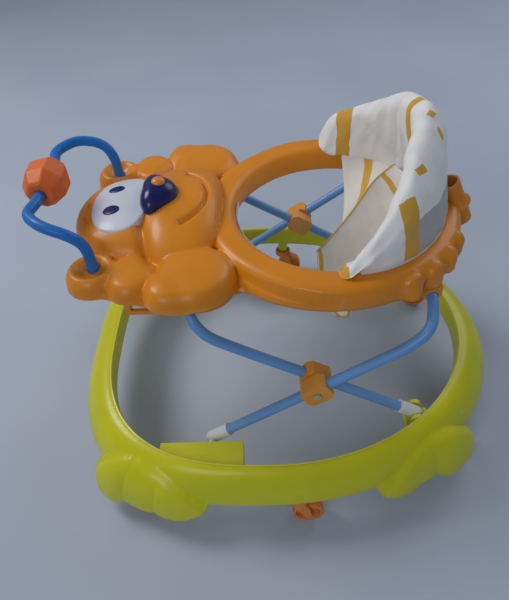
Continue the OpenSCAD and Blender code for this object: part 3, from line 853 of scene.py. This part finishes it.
PANEL = woven_cloth("seat_panel", (0.86, 0.83, 0.77), PANEL_PATCHES)
# White cloth of the real piping; the same cloth makes the painted highlight band along the front of the
# hole's inner edge.
BINDING_AND_HIGHLIGHT = woven_cloth("seat_binding_and_painted_highlight", (0.70, 0.70, 0.69))
SEAM = woven_cloth("seat_seam_tape", (0.62, 0.40, 0.12))


def smooth_table(table, at):
    """Values of the table's later columns at a place, eased between its rows."""
    rows = np.array(table, float)
    i = int(np.clip(np.searchsorted(rows[:, 0], at) - 1, 0, len(rows) - 2))
    t = np.clip((at - rows[i, 0]) / (rows[i + 1, 0] - rows[i, 0]), 0, 1)
    return spline(rows[max(i - 1, 0)], rows[i], rows[i + 1], rows[min(i + 2, len(rows) - 1)], t)[1:]


def run_length(points):
    """Distance along the points from the first one to each."""
    return np.concatenate([[0], np.cumsum(np.linalg.norm(np.diff(points, axis=0), axis=1))])


def closed_curve(corners, count):
    """Evenly spaced points on a closed smooth curve through the corners."""
    c = np.array(corners, float)
    n = len(c)
    fine = [spline(c[i - 1], c[i], c[(i + 1) % n], c[(i + 2) % n], t)
            for i in range(n) for t in np.linspace(0, 1, 10, endpoint=False)]
    fine = np.array(fine + [fine[0]])
    run = run_length(fine)
    at = np.linspace(0, run[-1], count, endpoint=False)
    return np.stack([np.interp(at, run, fine[:, k]) for k in range(3)], 1)


def around_hole(degrees, r, z):
    """The point at an angle and a distance from the hole's middle, at height z."""
    a = math.radians(degrees)
    return np.array([HOLE_AT[0] + r * math.cos(a), HOLE_AT[1] + r * math.sin(a), z])


def back_rise(degrees):
    """How far the rim has risen at the angle, from 0 to 1, and the distance of the back's outer foot."""
    rise = np.clip((smooth_table(RIM, degrees)[1] - RIM_LOW) / RIM_RISE, 0, 1)
    return rise, 169 - 8 * smooth_step(rise, 0.3, 1)


def back_section(degrees, count):
    """Closed section of the padded back: on the ring, up the outside, over the rim, down the inside."""
    r, z = smooth_table(RIM, degrees)
    rise, foot_r = back_rise(degrees)
    out = around_hole(degrees, 1, 0) - (*HOLE_AT, 0)
    thick = 13 + 15 * rise
    outer_r = r + thick * (1.0 + 0.15 * rise)
    outline = [
        (foot_r, 405.5),
        (foot_r + 3 + rise, 409 + 8 * rise),
        (0.62 * (foot_r + 5) + 0.38 * (outer_r + 5), 0.62 * 408 + 0.38 * (z - 6)),
        (0.25 * (foot_r + 5) + 0.75 * (outer_r + 7), 0.25 * 406 + 0.75 * (z - 6)),
        (outer_r + 3, z - 9 - 6 * rise),
        (r + 0.55 * thick, z + 2),
        (r + 1, z - 1),
        (r - 5, z - 9 - 4 * rise),
        (0.7 * (r - 7) + 0.3 * 143, 0.7 * (z - 12) + 0.3 * 404),
        (0.3 * (r - 6) + 0.7 * 143, 0.3 * (z - 10) + 0.7 * 403),
        (145, 400),
        (151, 397.5),
        (158, 403),
    ]
    return closed_curve([around_hole(degrees, at, height) for at, height in outline], count), out


def cushion_stations():
    """Angles of the stations, closer together towards the two rounded ends."""
    first = BACK_FROM + CAP_FROM * (1 - np.cos(np.linspace(0, math.pi / 2, 8, endpoint=False)))
    middle = np.linspace(BACK_FROM + CAP_FROM, BACK_TO - CAP_TO, 90, endpoint=False)
    last = BACK_TO - CAP_TO * (1 - np.sin(np.linspace(0, math.pi / 2, 8)))
    return np.concatenate([first, middle, last])


def build_seat_back():
    """Padded back: its sewn cover is lofted, then blown up by a short cloth simulation."""
    count = 44
    angles = cushion_stations()
    sections = []
    for degrees in angles:
        ring, out = back_section(degrees, count)
        from_end = min((degrees - BACK_FROM) / CAP_FROM, (BACK_TO - degrees) / CAP_TO, 1)
        close = math.sqrt(max(1 - (1 - from_end) ** 2, 0))
        middle = ring.mean(0)
        ring = middle + (ring - middle) * (0.12 + 0.88 * close)
        v = np.linspace(0, 2 * math.pi, count, endpoint=False)
        a = math.radians(degrees)
        gather = 2.2 * math.exp(-((degrees - 3) / 9) ** 2) * np.sin(34 * a + 2 * np.sin(v))
        crease = 1.6 * np.sin(13 * a + 1.8 * np.sin(v + 1.1)) * np.sin(v / 2) ** 2
        crinkle = 0.8 * np.sin(29 * a - 3 * np.cos(v))
        sections.append(ring + np.outer(gather + (crease + crinkle), out))
    grid = np.array(sections)
    rows = len(grid)
    faces = grid_faces(rows, count, close_columns=True) + end_faces(rows, count)
    obj = make_piece("seat_back_cover", grid.reshape(-1, 3), faces, COVER, "tray", ["seat_back"],
                     "seat_fabric", edge_angle=80, merge=0)
    run = run_length(grid[:, 0]) * MM
    round_run = np.array([run_length(section) for section in grid]) * MM
    set_cloth_uv(obj, count, lambda r, c: (run[r], round_run[r, c]), closed=True)
    puff(obj, pressure=2.5)
    smooth = obj.modifiers.new("Smooth", "SUBSURF")
    smooth.levels = smooth.render_levels = 1

    cord = [around_hole(a, back_rise(a)[1] + 1.5, 406.5) for a in np.linspace(6, 176, 90)]
    obj = make_piece("seat_piping", *sweep(cord, 2.4, 12, 1.5), BINDING_AND_HIGHLIGHT, "tray", slot="seat_fabric")
    set_cloth_uv(obj, 12, tape_place)


def tape_place(row, column):
    """Place on the flat cloth of a point of a narrow tape."""
    return row * 0.006, column * 0.0012


def set_cloth_uv(obj, columns, place, closed=False):
    """UVs in metres: place(row, column) gives each grid vertex's place on the flat cloth.

    On a closed section, the face past the last column goes on from it by last_gap.
    """
    last_gap = 0.008
    layer = obj.data.uv_layers.new(name="cloth")
    last = len(obj.data.vertices) // columns
    for poly in obj.data.polygons:
        spots = [divmod(obj.data.loops[loop].vertex_index, columns) for loop in poly.loop_indices]
        wraps = {c for _, c in spots} >= {0, columns - 1} and len(spots) == 4
        for loop, (r, c) in zip(poly.loop_indices, spots):
            u, v = place(min(r, last - 1), c)
            if wraps and c == 0 and closed:
                u, v = place(min(r, last - 1), columns - 1)
                v += last_gap
            layer.data[loop].uv = (u, v)


PUFF_FRAMES, PUFF_MOST = 14, 0.009  # length of the simulation, and the longest move it keeps in metres


def puff(obj, pressure):
    """Blows the closed cover up with a short cloth simulation, with its seams at the ring pinned."""
    scene = bpy.context.scene
    low = min(v.co.z for v in obj.data.vertices)
    group = obj.vertex_groups.new(name="pinned")
    for v in obj.data.vertices:
        weight = 1 - smooth_step(v.co.z, low + 0.012, low + 0.05)
        group.add([v.index], float(weight), "REPLACE")
    cloth = obj.modifiers.new("Puff", "CLOTH")
    settings = cloth.settings
    settings.quality, settings.mass = 6, 0.25
    settings.use_pressure, settings.uniform_pressure_force = True, pressure
    settings.tension_stiffness = settings.compression_stiffness = 18
    settings.shear_stiffness, settings.bending_stiffness = 8, 0.8
    settings.vertex_group_mass = "pinned"
    settings.effector_weights.gravity = 0
    cloth.collision_settings.use_collision = False
    cloth.point_cache.frame_start, cloth.point_cache.frame_end = 1, PUFF_FRAMES
    for frame_number in range(1, PUFF_FRAMES + 1):
        scene.frame_set(frame_number)
    shaped = obj.evaluated_get(bpy.context.evaluated_depsgraph_get()).to_mesh()
    before = np.array([v.co for v in obj.data.vertices])
    after = np.array([v.co for v in shaped.vertices])
    move = after - before
    reach = np.linalg.norm(move, axis=1, keepdims=True)
    move *= np.minimum(1, PUFF_MOST / np.maximum(reach, 1e-9))
    obj.modifiers.remove(cloth)
    obj.data.vertices.foreach_set("co", (before + move).ravel())
    obj.data.update()
    scene.frame_set(1)


# Sling between the legs, from the back (0) to its free front edge (1): place, edge half width, edge [y, z],
# middle [y, z]
SLING = [(0.0, 82, 176, 415, 204, 402), (0.2, 74, 146, 392, 194, 336), (0.4, 66, 120, 352, 172, 272),
         (0.6, 61, 98, 318, 142, 226), (0.8, 58, 76, 288, 104, 198), (0.93, 56, 60, 268, 70, 196),
         (1.0, 54, 54, 262, 56, 206)]


def sling_point(p, q):
    """Point of the sling at p along it and q across it, from -1 to 1. Its left front corner droops."""
    half, edge_y, edge_z, mid_y, mid_z = smooth_table(SLING, p)
    droop = smooth_step(p, 0.6, 0.85) * max(q, 0) ** 2
    edge_y, edge_z = edge_y + 26 * droop, edge_z + (208 - edge_z) * droop
    k = 1 - abs(q) ** 2.4
    fold = 2.2 * math.sin(11 * q + 5 * p) * math.sin(math.pi * min(p * 1.2, 1)) * k
    return np.array([half * q * (1 + 0.12 * k), edge_y + (mid_y - edge_y) * k + fold,
                     edge_z + (mid_z - edge_z) * k + 0.6 * fold])


def cloth_sheet(name, grid, material):
    """A thin sheet over a grid of points, hung from the padded back."""
    grid = np.array(grid)
    rows, columns = grid.shape[:2]
    obj = make_piece(name, grid.reshape(-1, 3), grid_faces(rows, columns), material, "tray",
                     slot="seat_fabric", edge_angle=80, merge=0)
    run, across = run_length(grid[:, columns // 2]) * MM, run_length(grid[rows // 2]) * MM
    set_cloth_uv(obj, columns, lambda r, c: (run[r], across[c]))
    thick = obj.modifiers.new("Thickness", "SOLIDIFY")
    thick.thickness, thick.offset = 0.0022, 0
    return obj


def build_sling():
    """The sling, the two side panels that join it to the ring, and the seam tapes along its edges."""
    grid = [[sling_point(p, q) for q in np.linspace(-1, 1, 46)] for p in np.linspace(0, 1, 60)]
    sling = cloth_sheet("seat_sling_cloth", grid, PANEL)
    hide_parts("seat_sling")
    for side, s in SIDES.items():
        panel = []
        for t in np.linspace(0, 1, 40):
            top = around_hole(10 + 52 * t, 149, 402)
            edge = sling_point(0.62 * (1 - t), 1)
            row = []
            for k in np.linspace(0, 1, 26):
                sag = math.sin(math.pi * k)
                ripple = 1.8 * math.sin(9 * t + 3 * k) * sag
                p = top * (1 - k) + edge * k + np.array([6 * sag + ripple, 6 * sag, -8 * sag])
                row.append((s * p[0], p[1], p[2]))
            panel.append(row)
        cloth_sheet("seat_side_" + side, panel, PANEL)
        edge = [sling_point(p, s) for p in np.linspace(0, 1, 40)]
        tape = make_piece("seat_seam_" + side, *sweep(edge, 1.8, 10, 1.0), SEAM, "tray", slot="seat_fabric")
        set_cloth_uv(tape, 10, tape_place)


def build_front_painted_highlight():
    """Painted highlight: a thin white band, shaped as a binding of the seat cover, along the front of the
    hole's inner edge, where light glints on the rim.
    """
    section = [(153.2, 391), (151.6, 393), (150.4, 391.5), (150.6, 387), (150.6, 383), (151.8, 381),
               (153.2, 383), (153.2, 387)]
    angles = np.linspace(-100, -20, 56)
    points = [around_hole(a, r, z) for a in angles for r, z in section]
    faces = grid_faces(len(angles), len(section), close_columns=True)
    obj = make_piece("seat_front_painted_highlight", points, faces, BINDING_AND_HIGHLIGHT, "tray", slot="seat_fabric", edge_angle=60,
                     merge=0)
    set_cloth_uv(obj, len(section), lambda r, c: (r * 0.005, c * 0.005))


# ---------------------------------------------------------------- camera, floor and light

def aim(obj, at, target):
    """Puts obj at a place and turns its -Z towards the target."""
    obj.location = Vector(at)
    obj.rotation_mode = "QUATERNION"
    obj.rotation_quaternion = (Vector(target) - Vector(at)).to_track_quat("-Z", "Y")


def build_camera():
    """Looks down on the child's left side at 44 degrees, with the camera slightly rolled."""
    azimuth, elevation, roll = math.radians(91.99), math.radians(44.09), math.radians(-3.375)
    distance = 1.0299
    target = Vector(to_row([(0, -60, 199.83)])[0])
    back = Vector((math.sin(azimuth) * math.cos(elevation), -math.cos(azimuth) * math.cos(elevation),
                   math.sin(elevation)))
    camera = add_object("camera", bpy.data.cameras.new("camera"))
    aim(camera, target + back * distance, target)
    camera.rotation_quaternion = camera.rotation_quaternion @ Quaternion((0, 0, 1), roll)
    camera.data.lens, camera.data.sensor_width = 34.6, 36
    bpy.context.scene.camera = camera


def build_floor():
    """A plain pale floor."""
    reach = 6.0
    corners = [(x * reach, y * reach, 0) for x, y in ((-1, -1), (1, -1), (1, 1), (-1, 1))]
    mesh = bpy.data.meshes.new("floor")
    mesh.from_pydata(corners, [], [(0, 1, 2, 3)])
    floor = add_object("floor", mesh)
    material, shader, add, link = new_material("floor_paper")
    cloud = noise(add, link, add("ShaderNodeTexCoord").outputs["Object"], Scale=2.0, Detail=3.0)
    link(ramp(add, link, cloud.outputs["Fac"], [(0.3, (0.43, 0.49, 0.60)), (0.7, (0.48, 0.54, 0.65))]),
         shader.inputs["Base Color"])
    shader.inputs["Roughness"].default_value = 0.75
    mesh.materials.append(material)


def add_light(name, at, target, size, power, colour):
    """A round area light."""
    light = bpy.data.lights.new(name, "AREA")
    light.shape, light.size, light.energy, light.color = "DISK", size, power, colour
    aim(add_object(name, light), at, target)


def build_lights():
    """Three soft lights and a dim even sky."""
    middle = (0, 0, 0.25)
    add_light("key_light", (-0.7, -1.8, 2.2), middle, 1.1, 27, (1.0, 0.99, 0.96))
    add_light("side_light", (2.1, -0.9, 1.7), middle, 1.2, 12, (0.95, 0.97, 1.0))
    add_light("back_light", (-1.7, 1.5, 1.9), middle, 1.8, 14, (0.95, 0.97, 1.0))
    world = bpy.data.worlds.new("studio")
    world.use_nodes = True
    sky = world.node_tree.nodes["Background"]
    sky.inputs["Color"].default_value = (0.80, 0.86, 0.95, 1)
    sky.inputs["Strength"].default_value = 0.25
    bpy.context.scene.world = world


bpy.context.scene.view_settings.view_transform = "Standard"
build_camera()
build_floor()
build_lights()
build_base()
build_tubes()
build_tray()
build_face()
build_toy_bar()
build_bead()
build_rear_socket()
build_casters()
dress_cad_nodes()
build_seat_back()
build_sling()
build_front_painted_highlight()
